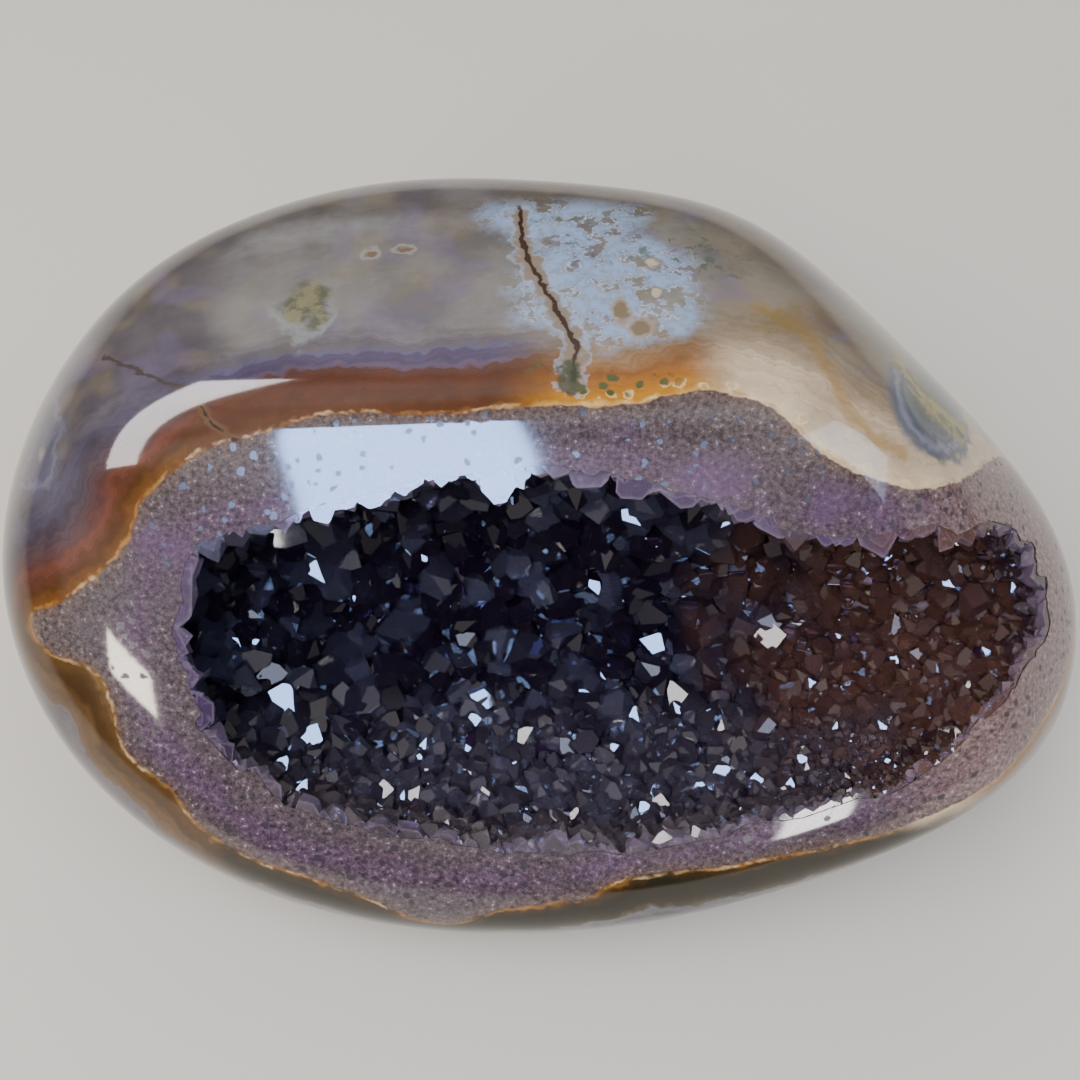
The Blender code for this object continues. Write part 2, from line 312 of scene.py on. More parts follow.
# The healed crack down the upper face, the thin crack and the spindle on the left, the right inclusion's
# golden core, and the ochre vein beside it
LINES = {
    "crack": ((-2.2, 39), (-1.6, 34), (-0.2, 31), (1.8, 27.4), (3.2, 24.4), (4.8, 22), (4.4, 18.4)),
    "left_crack": ((-52, 19.8), (-46, 18), (-41, 16)),
    "spindle": ((-39.7, 15.2), (-38, 12.8), (-35.6, 11), (-34.2, 10.4)),
    "gold_core": ((46, 18.6), (49, 14.4), (52.4, 11.4)),
    "vein": ((28, 26), (33, 22.6), (34.4, 19), (36, 14.6), (38.4, 11.4), (42, 9.4)),
}
for name, stations in LINES.items():
    far, side = beside_line(stone_points, stations)
    add_numbers(stone_mesh, name, far)
    add_numbers(stone_mesh, name + "_side", side)

# The flat that it rests on is ground last
stone = bmesh.new()
stone.from_mesh(stone_mesh)
whole = stone.verts[:] + stone.edges[:] + stone.faces[:]
bmesh.ops.bisect_plane(stone, geom=whole, dist=1e-7, plane_co=(0, 0, 0), plane_no=(0, 0, 1), clear_inner=True)
bmesh.ops.contextual_create(stone, geom=[e for e in stone.edges if e.is_boundary])
bmesh.ops.recalc_face_normals(stone, faces=stone.faces[:])
stone.to_mesh(stone_mesh)
stone.free()
stone_mesh.shade_smooth()
stone_mesh.set_sharp_from_angle(angle=math.radians(35))
polished_stone = bpy.data.objects.new("polished_stone", stone_mesh)
bpy.context.scene.collection.objects.link(polished_stone)


class Varying:
    """A number or vector that varies over a surface. Python's operators on it add Math nodes."""

    def __init__(self, finish, socket):
        self.finish, self.socket = finish, socket

    def __add__(self, other):
        return self.finish.maths("ADD", self, other)

    def __sub__(self, other):
        return self.finish.maths("SUBTRACT", self, other)

    def __rsub__(self, other):
        return self.finish.maths("SUBTRACT", other, self)

    def __mul__(self, other):
        return self.finish.maths("MULTIPLY", self, other)

    def __truediv__(self, other):
        return self.finish.maths("DIVIDE", self, other)

    __radd__, __rmul__ = __add__, __mul__

    def between(self, low, high):
        """0 at low, 1 at high, and a soft step between them. Low may be the larger."""
        return self.finish.node(
            "ShaderNodeMapRange", {"interpolation_type": "SMOOTHSTEP"}, {0: self, 1: low, 2: high, 3: 0, 4: 1}
        )


class Finish:
    """One surface finish, or the look of the room: what owns a node tree, which node() adds nodes to."""

    def __init__(self, owner):
        owner.use_nodes = True
        self.owner, self.tree = owner, owner.node_tree
        self.shader = self.tree.nodes.get("Principled BSDF")
        self.surface_output = self.tree.nodes.get("Material Output")

    def node(self, kind, settings, sockets, output=0):
        """Adds a node: its settings first, then its sockets' values or links."""
        added = self.tree.nodes.new(kind)
        for name, value in settings.items():
            if name == "stops":
                ramp = added.color_ramp
                for place, colour in value[1:-1]:
                    ramp.elements.new(place).color = colour
                ramp.elements[0].position, ramp.elements[0].color = value[0]
                ramp.elements[-1].position, ramp.elements[-1].color = value[-1]
            else:
                setattr(added, name, value)
        for key, value in sockets.items():
            self.set(added.inputs[key], value)
        return Varying(self, added.outputs[output])

    def set(self, socket, value):
        if isinstance(value, Varying):
            self.tree.links.new(value.socket, socket)
        else:
            socket.default_value = value

    def maths(self, operation, *values):
        return self.node("ShaderNodeMath", {"operation": operation}, dict(enumerate(values)))

    def vector(self, operation, *values, output=0):
        return self.node("ShaderNodeVectorMath", {"operation": operation}, dict(enumerate(values)), output)

    def mix(self, share, first, second):
        """The first colour where share is 0, the second where it is 1."""
        return self.node("ShaderNodeMix", {"data_type": "RGBA"}, {0: share, 6: first, 7: second}, 2)

    def shaded(self, colour, other, blend, share=1.0):
        """A colour multiplied by or otherwise blended with another."""
        settings = {"data_type": "RGBA", "blend_type": blend}
        return self.node("ShaderNodeMix", settings, {0: share, 6: colour, 7: other}, 2)

    def noise(self, place, scale, detail=3.0, roughness=0.5, output=0):
        sockets = {"Vector": place, "Scale": scale, "Detail": detail, "Roughness": roughness}
        return self.node("ShaderNodeTexNoise", {}, sockets, output)

    def cells(self, place, scale):
        """The distance to the nearest of scattered points."""
        return self.node("ShaderNodeTexVoronoi", {"feature": "F1"}, {"Vector": place, "Scale": scale})

    def bands(self, distance, stops):
        """Colours that follow one another at distances in mm."""
        first, last = stops[0][0], stops[-1][0]
        share = (distance - first) / (last - first)
        places = [((at - first) / (last - first), rgb(*colour)) for at, colour in stops]
        return self.node("ShaderNodeValToRGB", {"stops": places}, {0: share})

    def from_spot(self, place, middle, reach):
        """The distance from a middle, as a share of a reach to the right, up and out."""
        away = self.vector("SUBTRACT", place, middle)
        return self.vector("LENGTH", self.vector("DIVIDE", away, reach), output=1)

    def from_line(self, name, wander):
        """The distance in mm from one of the lines that the mesh keeps numbers for, moved about by a wandering."""
        sideways = self.maths("ABSOLUTE", self.number(name + "_side") + wander)
        return self.maths("MAXIMUM", sideways, self.number(name) - 1.0)

    def on_face(self):
        """The place on the face's axes in mm, from the object's own coordinates."""
        place = self.node("ShaderNodeTexCoord", {}, {}, 3)
        place = self.vector("MULTIPLY", self.vector("SUBTRACT", place, tuple(STONE_MIDDLE)), (1000, 1000, 1000))
        turned = (FACE_LOOKS_UP - math.pi / 2, 0, 0)
        return self.node("ShaderNodeMapping", {"vector_type": "POINT"}, {0: place, 2: turned})

    def parts(self, place):
        """The three parts of a vector."""
        first = self.node("ShaderNodeSeparateXYZ", {}, {0: place})
        return [Varying(self, socket) for socket in first.socket.node.outputs]

    def number(self, name):
        return self.node("ShaderNodeAttribute", {"attribute_name": name}, {}, 2)


def rgb(red, green, blue):
    """A colour given as it looks on a screen, 0 to 255."""
    return (*(((c / 255 + 0.055) / 1.055) ** 2.4 if c > 10 else c / 3294.6 for c in (red, green, blue)), 1.0)


StoneNumbers = namedtuple(
    "StoneNumbers", "place into_agate from_mouth drift ripple wandering wavy specks mottle depth"
)


def stone_numbers(finish):
    """The places, distances and wanderings that both of the stone's finishes are made from."""
    place = finish.on_face()
    into_agate = finish.number("into_agate")
    from_mouth = finish.number("from_mouth")
    # Slow and quick wanderings that no band or patch edge is free of
    drift = finish.vector("SUBTRACT", finish.noise(place, 0.13, 1, output=1), (0.5, 0.5, 0.5))
    ripple = finish.vector("SUBTRACT", finish.noise(place, 0.55, 2, 0.6, output=1), (0.5, 0.5, 0.5))
    wandering = finish.vector(
        "ADD", finish.vector("MULTIPLY", drift, (7, 7, 7)), finish.vector("MULTIPLY", ripple, (3.2, 3.2, 3.2))
    )
    wavy = finish.vector("ADD", place, finish.vector("MULTIPLY", ripple, (1.6, 1.6, 1.6)))
    specks = finish.cells(wavy, 0.5)
    mottle = finish.noise(place, 1.6, 3, 0.75)
    depth = into_agate + finish.parts(ripple)[1] * 1.2
    return StoneNumbers(place, into_agate, from_mouth, drift, ripple, wandering, wavy, specks, mottle, depth)


def quartz_colour(finish, numbers):
    """The quartz ring: sugary, brownish by the agate and purple by the hollow. Also gives its pits' share."""
    from_mouth, mottle, depth = numbers.from_mouth, numbers.mottle, numbers.depth
    right, up, _ = finish.parts(numbers.place)
    sway = finish.parts(numbers.wandering)[0]
    ring = finish.bands(from_mouth + sway * 0.8, [
        (-2.0, (104, 84, 110)), (0.8, (98, 82, 99)), (2.5, (95, 84, 92)), (6.0, (99, 90, 93)), (10, (108, 99, 98)),
        (16, (114, 105, 101)),
    ])
    ring = finish.mix(depth.between(-2.4, -0.3) * 0.7, ring, rgb(112, 94, 86))
    ring = finish.mix((right + sway * 0.5).between(38, 56) * 0.9, ring, rgb(142, 120, 116))
    dapple = finish.bands(mottle * 10, [(3.4, (120, 112, 122)), (6.4, (255, 250, 255))])
    ring = finish.shaded(ring, dapple, "MULTIPLY", 0.9)
    ring = finish.mix(mottle.between(0.62, 0.74) * 0.6, ring, rgb(202, 192, 200))
    # Pits in the polish: real pits, made rougher in finish_stone, with painted shade inside them that darkens the
    # colour where they are
    pit_share = numbers.specks.between(0.26, 0.17) * from_mouth.between(11, 8) * depth.between(0.0, -0.5)
    ring = finish.mix(pit_share * 0.85, ring, rgb(42, 36, 46))
    slow = finish.parts(numbers.drift)[1]
    purple = slow.between(-0.04, 0.14) * from_mouth.between(6, 1.5) * up.between(-16, -4) * right.between(50, 36)
    ring = finish.mix(purple * 0.4, ring, rgb(98, 72, 114))
    return ring, pit_share


AGATE_IOR = 1.54


def finish_stone(finish, colour, mottle, pit_share):
    """Darkens the hollow's wall, and gives the polish."""
    colour = finish.mix(finish.number("in_hollow").between(0.45, 1.0), colour, rgb(46, 28, 60))
    finish.set(finish.shader.inputs["Base Color"], colour)
    finish.set(finish.shader.inputs["Roughness"], mottle * 0.06 + pit_share * 0.25 + 0.03)
    finish.shader.inputs["IOR"].default_value = AGATE_IOR
    stone_mesh.materials.append(finish.owner)


agate = Finish(bpy.data.materials.new("polished_agate"))
numbers = stone_numbers(agate)
place, into_agate, from_mouth, drift, ripple, wandering, wavy, specks, mottle, depth = numbers
right, up, out = agate.parts(place)
wandered = agate.vector("ADD", place, wandering)
sway = agate.parts(wandering)[0]
slow_one, slow_two, slow_three = agate.parts(drift)
quick_one, quick_two, quick_three = agate.parts(ripple)
deep_sway = into_agate + sway * 0.55 + specks * 1.1

front = out.between(-6, -1)
top_bands = agate.bands(deep_sway, [
    (0.0, (136, 92, 54)), (0.7, (96, 60, 38)), (2.5, (88, 50, 30)), (5.2, (92, 46, 22)), (6.6, (86, 52, 42)),
    (7.5, (98, 84, 116)), (7.9, (78, 66, 92)), (9.4, (80, 70, 102)), (10.0, (98, 94, 120)), (10.6, (94, 88, 98)),
    (14, (115, 112, 113)), (22, (118, 115, 112)), (30, (104, 100, 98)), (34, (122, 120, 122)), (38, (98, 93, 90)),
    (46, (116, 113, 116)), (55, (92, 88, 88)),
])
golden_bands = agate.bands(deep_sway, [
    (0.0, (226, 180, 96)), (0.8, (190, 132, 42)), (3.0, (164, 104, 30)), (5.0, (138, 88, 38)), (7.5, (142, 114, 84)),
    (9.5, (146, 136, 124)), (16, (132, 130, 126)), (38, (104, 99, 94)), (55, (92, 88, 88)),
])
beige_bands = agate.bands(deep_sway, [
    (0.0, (224, 200, 166)), (1.2, (208, 188, 160)), (7.0, (188, 170, 144)), (9.5, (152, 134, 112)),
    (13, (128, 117, 102)), (20, (118, 110, 98)), (38, (102, 96, 90)), (55, (92, 88, 88)),
])
left_bands = agate.bands(deep_sway, [
    (0.0, (150, 110, 56)), (0.5, (116, 74, 28)), (2.2, (88, 54, 26)), (4.0, (112, 66, 52)), (6.0, (84, 62, 66)),
    (8.0, (70, 60, 72)), (10, (84, 78, 96)), (11.5, (82, 76, 86)), (16, (88, 82, 88)), (38, (84, 79, 80)),
    (55, (84, 80, 80)),
])
ochre_bands = agate.bands(deep_sway, [
    (0.0, (134, 100, 56)), (1.0, (92, 66, 36)), (3.0, (78, 56, 30)), (4.2, (98, 72, 44)), (6.2, (100, 76, 50)),
    (7.4, (104, 98, 104)), (10, (84, 80, 86)), (38, (90, 86, 86)), (55, (92, 88, 88)),
])
under_bands = agate.bands(deep_sway, [
    (0.0, (140, 98, 44)), (0.6, (72, 52, 22)), (2.0, (38, 32, 18)), (4.6, (46, 40, 24)), (5.6, (76, 66, 44)),
    (6.4, (112, 112, 120)), (7.4, (78, 76, 78)), (8.4, (102, 102, 108)), (9.6, (76, 74, 76)), (14, (80, 76, 78)),
    (38, (92, 88, 86)), (55, (92, 88, 88)),
])
end_bands = agate.bands(deep_sway, [
    (0.0, (166, 128, 82)), (0.8, (150, 100, 50)), (2.2, (140, 112, 82)), (3.2, (128, 124, 124)), (6, (112, 108, 108)),
    (38, (94, 90, 88)), (55, (92, 88, 88)),
])
wander_right = right + sway * 0.5
wander_up = up + sway * 0.5
colour = agate.mix(wander_right.between(-5, 4), top_bands, golden_bands)
colour = agate.mix(wander_right.between(17, 25), colour, beige_bands)
colour = agate.mix(wander_right.between(-36, -42), colour, left_bands)
colour = agate.mix(wander_up.between(-9, -13) * wander_right.between(-30, -38), colour, ochre_bands)
colour = agate.mix(wander_up.between(-34, -38) * wander_right.between(-41, -37), colour, under_bands)
colour = agate.mix(wander_up.between(-4, -10) * wander_right.between(50, 58), colour, end_bands)

# Fine agate banding, all over and stronger near the quartz
fine_sockets = {"W": deep_sway * 1.1, "Scale": 1.0, "Detail": 2.0, "Roughness": 0.7}
fine = agate.node("ShaderNodeTexNoise", {"noise_dimensions": "1D"}, fine_sockets)
fine_bands = agate.bands(fine * 10, [(3.0, (190, 186, 190)), (7.0, (255, 255, 255))])
colour = agate.shaded(colour, fine_bands, "MULTIPLY", into_agate.between(16, 8) * 0.45 + 0.12)
colour = agate.mix(slow_two.between(0.02, 0.18) * into_agate.between(8, 14) * 0.45, colour, rgb(122, 112, 92))
colour = agate.mix(slow_three.between(0.02, 0.18) * into_agate.between(8, 14) * 0.5, colour, rgb(104, 94, 120))
clouds = slow_one + quick_three * 0.4
cloud_bands = agate.bands(clouds * 10, [(-2.0, (190, 186, 188)), (1.5, (255, 255, 255))])
colour = agate.shaded(colour, cloud_bands, "MULTIPLY", 0.6)

# Pale blue lace in the upper face, its white edges, and moss in it
lace_area = agate.maths("MAXIMUM", agate.from_spot(wandered, (9, 30, 20), (13, 9, 22)).between(1.15, 0.8),
                        agate.from_spot(wandered, (3, 40, 12), (13, 7, 22)).between(1.2, 0.8))
lace = agate.noise(wavy, 0.28, 3, 0.68)
lace_share = lace_area * lace.between(0.38, 0.60) * front
colour = agate.mix(lace_share * 0.85, colour, rgb(140, 166, 204))
lace_lines = agate.maths("ABSOLUTE", lace - 0.47).between(0.022, 0.0) * lace_area * front
colour = agate.mix(lace_lines * 0.5, colour, rgb(190, 204, 226))
tufts = agate.noise(agate.vector("ADD", wavy, (40, 0, 0)), 0.4, 3, 0.72)
moss = tufts.between(0.53, 0.62)
moss_area = agate.maths("MAXIMUM", agate.from_spot(wandered, (20, 34, 16), (12, 5, 20)).between(1.2, 0.7),
                        agate.from_spot(wandered, (3, 37, 16), (7, 5, 20)).between(1.2, 0.7))
colour = agate.mix(moss * moss_area * front * 0.8, colour, rgb(74, 88, 70))

# The healed crack down the upper face, with its cream border
crack = agate.from_line("crack", quick_one * 1.6)
border = crack + quick_two * 4.0
colour = agate.mix(border.between(1.9, 1.5) * front * 0.45, colour, rgb(150, 166, 192))
colour = agate.mix(border.between(1.45, 0.7) * front * 0.85, colour, rgb(122, 104, 80))
colour = agate.mix(crack.between(0.42, 0.2) * front, colour, rgb(52, 36, 26))
green_end = agate.from_spot(wandered, (4.2, 17.2, 26), (2.4, 1.5, 30)) + quick_three * 1.4
colour = agate.mix(green_end.between(1.1, 0.6) * front * 0.85, colour, rgb(48, 56, 38))

# The spindle crack on the left
left_crack = agate.from_line("left_crack", quick_one * 1.6)
colour = agate.mix(left_crack.between(0.35, 0.1) * front, colour, rgb(70, 60, 58))
spindle = agate.from_line("spindle", quick_one * 1.0) + quick_three * 1.2
colour = agate.mix(spindle.between(0.75, 0.4) * front, colour, rgb(88, 62, 40))
colour = agate.mix(spindle.between(0.15, 0.0) * front, colour, rgb(44, 30, 22))

# Inclusions: olive, two pits, cream orbs, and the eye at the left end
olive_spot = agate.from_spot(wandered, (-28, 26.6, 20), (3.4, 3.6, 30))
colour = agate.mix(olive_spot.between(1.3, 0.95) * up.between(28, 24) * front * 0.5, colour, rgb(150, 158, 166))
olive_mix = agate.mix(tufts.between(0.42, 0.6), rgb(112, 108, 72), rgb(66, 66, 44))
colour = agate.mix(olive_spot.between(1.15, 0.6) * front * 0.85, colour, olive_mix)
for middle, reach, other_middle, other_reach, inner, outer in (
    ((-21.2, 33.2, 20), (1.2, 0.8, 30), (-17, 33.8, 20), (1.5, 0.6, 30), (98, 80, 62), (136, 134, 128)),
    ((14.6, 31.9, 20), (1.2, 0.8, 30), (14.9, 27.9, 20), (0.8, 0.7, 30), (172, 165, 146), (114, 108, 92)),
    ((10.4, 25.6, 20), (1.0, 1.5, 30), (12.6, 23.6, 20), (1.4, 1.0, 30), (115, 101, 82), (148, 134, 112)),
):
    other_spot = agate.from_spot(wavy, other_middle, other_reach)
    spot = agate.maths("MINIMUM", agate.from_spot(wavy, middle, reach), other_spot)
    colour = agate.mix(spot.between(1.45, 1.0) * front * 0.8, colour, rgb(*outer))
    colour = agate.mix(spot.between(1.05, 0.6) * front, colour, rgb(*inner))
eye = agate.from_spot(wavy, (-59, 8.4, 6), (1.0, 1.9, 9))
halo = agate.from_spot(wandered, (-58.5, 7.5, 6), (4.6, 8.5, 18))
colour = agate.mix(halo.between(1.25, 0.85) * 0.5, colour, rgb(90, 90, 112))
colour = agate.mix(agate.maths("ABSOLUTE", halo - 0.98).between(0.08, 0.0) * 0.3, colour, rgb(124, 124, 146))
colour = agate.mix(halo.between(0.85, 0.3), colour, rgb(74, 74, 80))
colour = agate.mix(eye.between(1.7, 1.3), colour, rgb(214, 200, 148))
colour = agate.mix(eye.between(0.75, 0.45), colour, rgb(70, 44, 28))

# The inclusion at the right, in blue-grey bands
bay = agate.from_spot(wavy, (48.5, 14, 12), (6.5, 6.0, 14)) + quick_one * 0.35
bay_bands = agate.bands(bay, [
    (0.0, (70, 76, 62)), (0.5, (66, 74, 70)), (0.72, (92, 98, 108)), (0.8, (78, 82, 92)), (0.95, (118, 122, 138)),
    (1.05, (92, 94, 104)), (1.3, (112, 110, 112)),
])
colour = agate.mix(bay.between(1.3, 1.1) * front, colour, bay_bands)
gold_core = agate.from_line("gold_core", quick_one * 1.6) + quick_three * 2.6
gold_mix = agate.mix(tufts.between(0.46, 0.58), rgb(140, 128, 60), rgb(66, 70, 48))
colour = agate.mix(gold_core.between(1.9, 0.5) * front * 0.9, colour, gold_mix)
vein = agate.from_line("vein", quick_one * 1.6) + quick_two * 1.8
colour = agate.mix(vein.between(1.5, 0.0) * front * 0.6, colour, rgb(138, 108, 56))
stain = agate.from_spot(wandered, (31.5, 24.5, 20), (5.5, 2.4, 30))
colour = agate.mix(stain.between(1.2, 0.4) * front * 0.6, colour, rgb(104, 82, 34))

# Tiny ring-shaped orbs and green grains along the edge of the quartz
orb_row = depth.between(-0.5, -0.1) * depth.between(1.5, 0.9)
orb_row = orb_row * right.between(2, 8) * right.between(52, 34) * up.between(2, 5)
ring_line = agate.maths("ABSOLUTE", specks - 0.32).between(0.10, 0.03)
colour = agate.mix(ring_line * orb_row * 0.6, colour, rgb(214, 196, 150))
grain_row = deep_sway.between(0.8, 1.6) * deep_sway.between(6.5, 4.2)
grain_row = grain_row * right.between(-3, 2) * right.between(20, 14) * up.between(4, 8)
colour = agate.mix(specks.between(0.36, 0.24) * grain_row, colour, rgb(72, 76, 42))

# The pale line where quartz meets agate
edge_colour = agate.mix(slow_three.between(-0.05, 0.15), rgb(158, 112, 58), rgb(206, 180, 140))
edge_share = quick_three.between(-0.1, 0.12) * 0.6
colour = agate.mix(depth.between(-0.4, -0.1) * depth.between(0.3, 0.0) * edge_share, colour, edge_colour)

ring, pit_share = quartz_colour(agate, numbers)
finish_stone(agate, agate.mix(depth.between(-0.2, -0.5), colour, ring), mottle, pit_share)

# Where there is quartz alone, its own finish renders faster
quartz = Finish(bpy.data.materials.new("polished_quartz"))
numbers = stone_numbers(quartz)
ring, pit_share = quartz_colour(quartz, numbers)
finish_stone(quartz, ring, numbers.mottle, pit_share)
ALL_QUARTZ_BELOW = -1.0
quartz_depth = np.empty(len(stone_mesh.vertices))
stone_mesh.attributes["into_agate"].data.foreach_get("value", quartz_depth)
all_quartz = [max(quartz_depth[v] for v in face.vertices) < ALL_QUARTZ_BELOW for face in stone_mesh.polygons]
stone_mesh.polygons.foreach_set("material_index", np.array(all_quartz, dtype=np.int32))
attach(polished_stone, "root")
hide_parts("agate_stone")

# The amethyst crust
#
# Over two thousand amethyst points that grew inwards from the hollow's wall until they touched each other, on a
# base of massive quartz. Those at the mouth are ground off with the face and show their cut sections.

# How far in from the hollow's wall the crust's back lies, its massive base ends and the points start
CRUST_BACK, BASE_FRONT, CRUST_FRONT = 0.9 * MM, 1.6 * MM, 2.7 * MM
LARGEST_POINT, SMALLEST_POINT = 3.3 * MM, 0.85 * MM
FACE_SLOPE = math.radians(51.8)
PATTERNS, SEEDS = 32, 60000
CUT_BELOW, CUT_TRIES, DEEPER_BY = 0.12 * MM, 3, 45 * MM
HEM_SHARE = 0.16
QUARTZ_IOR = 1.544
chance = np.random.default_rng(7)

# The large points that hang over the mouth's upper edge: right and up of the tip on the face, and the radius
HANGING_POINTS = np.array((
    (-14.5, 3.6, 2.4), (-11, 4.6, 1.5), (-4, 2.2, 2.6), (-1.2, 4.6, 1.3), (5.8, 6, 2.2), (8.8, 5.8, 1.5),
    (16.6, 4.0, 3.0), (24.2, 0.2, 1.9), (27.5, -0.4, 2.0), (41.5, -4.2, 3.0), (47.5, -3.2, 1.7), (35, -2.2, 2.2),
    (-24, 0.2, 2.0), (-29, 0, 1.5), (-37.5, -3, 1.9), (-40, -12, 2.0), (-39, -19, 1.8), (-35.5, -25.4, 1.5),
)) * MM


def quartz_point(chance):
    """One point of radius 1 whose shoulder is near z 0: a six-sided prism cut by its six end faces."""
    point = bmesh.new()
    bmesh.ops.create_cone(point, cap_ends=True, segments=6, radius1=1, radius2=1, depth=6)
    wide = chance.uniform(0.8, 1.2)
    for vert in point.verts:
        vert.co.x *= wide
    lift = chance.uniform(0.0, 0.45)
    start = chance.integers(2)
    for k in range(6):
        around = math.radians(30 + 60 * k)
        slope = math.sin(FACE_SLOPE)
        height = 1.15 + (lift if (k + start) % 2 else 0) + chance.uniform(-0.22, 0.22)
        cut(point, (0, 0, height), (slope * math.cos(around), slope * math.sin(around), math.cos(FACE_SLOPE)))
    return point


def cut(shape, at, normal):
    """Takes off what stands beyond a plane and closes the cut."""
    whole = shape.verts[:] + shape.edges[:] + shape.faces[:]
    bmesh.ops.bisect_plane(shape, geom=whole, dist=1e-6, plane_co=at, plane_no=normal, clear_outer=True)
    bmesh.ops.holes_fill(shape, edges=[e for e in shape.edges if e.is_boundary], sides=0)


def as_arrays(shape):
    """A shape's vertices and its faces' vertex numbers, and frees it."""
    shape.verts.index_update()
    found = np.array([v.co[:] for v in shape.verts]), [[v.index for v in f.verts] for f in shape.faces]
    shape.free()
    return found


def turned_to(axis, spin):
    """The rows that turn a point's own X, Y and Z to lie about an axis."""
    side = np.cross(axis, (0.3, 0.9, 0.31))
    side /= np.linalg.norm(side)
    other = np.cross(axis, side)
    first = side * math.cos(spin) + other * math.sin(spin)
    return np.array((first, np.cross(axis, first), axis))


def joined_points(name, points):
    """One mesh of many points, each a foot, an axis and a radius. What stands out of the face is ground off."""
    places, faces, lots, hems = [], [], [], []
    count = 0
    for foot, axis, radius in points:
        shape, shape_faces = patterns[chance.integers(len(patterns))]
        shape = np.column_stack((shape[:, :2], np.maximum(shape[:, 2], -1.3)))
        shape = foot + shape * radius @ turned_to(axis, chance.uniform(0, math.tau))
        if size_share(shape).max() > POLISHED_AT:
            crossing = surface_over(np.array((foot[:2],)))
            outwards = surface_normal(crossing)[0]
            piece = bmesh.new()
            verts = [piece.verts.new(p / MM) for p in shape]
            for face in shape_faces:
                piece.faces.new([verts[i] for i in face])
            below = CUT_BELOW
            for _ in range(CUT_TRIES):
                cut(piece, (crossing[0] - outwards * below) / MM, outwards)
                if len(piece.faces) > 3:
                    rest = np.array([v.co[:] for v in piece.verts]) * MM
                    below += max(size_share(rest).max() - POLISHED_AT + 0.001, 0) * DEEPER_BY
            if len(piece.faces) < 4:
                piece.free()
                continue
            piece.normal_update()
            ground = [f for f in piece.faces if f.normal.dot(Vector(outwards)) > 0.999]
            inner = set()
            if ground:
                bmesh.ops.inset_individual(piece, faces=ground, thickness=HEM_SHARE * radius / MM)
                piece.verts.index_update()
                inner = {v.index for f in ground for v in f.verts}
            shape, shape_faces = as_arrays(piece)
            shape = shape * MM
            hems += [0.0 if i in inner else 1.0 for i in range(len(shape))]
        else:
            hems += [0.0] * len(shape)
        places.append(shape)
        faces += [[i + count for i in face] for face in shape_faces]
        lots += [chance.random()] * len(shape)
        count += len(shape)
    mesh = bpy.data.meshes.new(name)
    mesh.from_pydata(placed(np.vstack(places)).tolist(), [], faces)
    add_numbers(mesh, "lot", lots)
    add_numbers(mesh, "hem", hems)
    mesh.shade_flat()
    joined = bpy.data.objects.new(name, mesh)
    bpy.context.scene.collection.objects.link(joined)
    return joined


patterns = [as_arrays(quartz_point(chance)) for _ in range(PATTERNS)]
crust_line = mouth_line(lip(ONCE_ROUND) + 1.0 * MM)
seed_turn = chance.uniform(0, math.tau, SEEDS)
seed_rise = np.sqrt(chance.uniform(0.0004, 1, SEEDS)) * 0.985
feet = hollow_point(seed_turn, seed_rise, crust_line, CRUST_FRONT)
lower = np.clip(seed_rise, 0.03, 0.96)
ahead = hollow_point(seed_turn + 0.02, lower, crust_line, CRUST_FRONT)
ahead -= hollow_point(seed_turn - 0.02, lower, crust_line, CRUST_FRONT)
upward = hollow_point(seed_turn, lower + 0.02, crust_line, CRUST_FRONT)
upward -= hollow_point(seed_turn, lower - 0.02, crust_line, CRUST_FRONT)
inwards = np.cross(upward, ahead)
area = np.linalg.norm(inwards, axis=1)
inwards /= area[:, None]
density = area / lower
tries = np.flatnonzero(chance.uniform(0, density.max(), len(area)) < density)

# Large points first, then smaller ones in what room is left. They are finer at the right end and along
# the lower edge.
kept, kept_feet, kept_sizes = [], np.zeros((len(tries), 3)), np.zeros(len(tries))
rise_above = gap_to(feet[tries], crust_line)
for k, size, near in zip(tries, np.linspace(LARGEST_POINT, SMALLEST_POINT, len(tries)), rise_above):
    fineness = 1 - 0.4 * smooth((feet[k][0] / MM - 22) / 22) - 0.4 * smooth((-24 - feet[k][1] / MM) / 8)
    radius = size * fineness * chance.uniform(0.8, 1.1)
    done = len(kept)
    if done and np.min(np.linalg.norm(kept_feet[:done] - feet[k], axis=1) - 0.5 * kept_sizes[:done]) < 0.5 * radius:
        continue
    lean = inwards[k] + chance.normal(0, 0.46, 3)
    kept_feet[done], kept_sizes[done] = feet[k], radius
    lean /= np.linalg.norm(lean)
    kept.append((feet[k] - lean * radius * 0.3, lean, radius, near))

dark_points, pale_points = [], []
for foot, axis, radius, near in kept:
    pale_to = 2.4 + 9.0 * smooth((-22 - foot[1] / MM) / 8) + 3 * smooth((foot[0] / MM - 40) / 12)
    (pale_points if near / MM < pale_to + chance.normal(0, 1.0) else dark_points).append((foot, axis, radius))

# The outermost row grows straight in from the mouth's edge
edge_in, edge_further = (mouth_line(lip(ONCE_ROUND) + reach * MM) for reach in (-0.6, 0.8))
steps = np.linalg.norm(np.roll(mouth_edge, -1, axis=0) - mouth_edge, axis=1)
walked, reach = 0.0, np.cumsum(steps)
while walked < reach[-1]:
    k = int(np.searchsorted(reach, walked)) % len(mouth_edge)
    radius = chance.uniform(0.8, 1.6) * MM * (1 - 0.3 * smooth((-24 - mouth_edge[k][1] / MM) / 8))
    way = edge_further[k] - edge_in[k]
    way /= np.linalg.norm(way)
    surface = surface_normal(edge_in[k:k + 1])[0]
    lean = way - surface * chance.uniform(0.0, 0.6) + chance.normal(0, 0.18, 3)
    foot = edge_in[k] + way * chance.uniform(-0.8, 0.8) * MM - surface * radius * chance.uniform(0.1, 0.7)
    pale_points.append((foot, lean / np.linalg.norm(lean), radius))
    walked += radius * chance.uniform(0.7, 1.2)
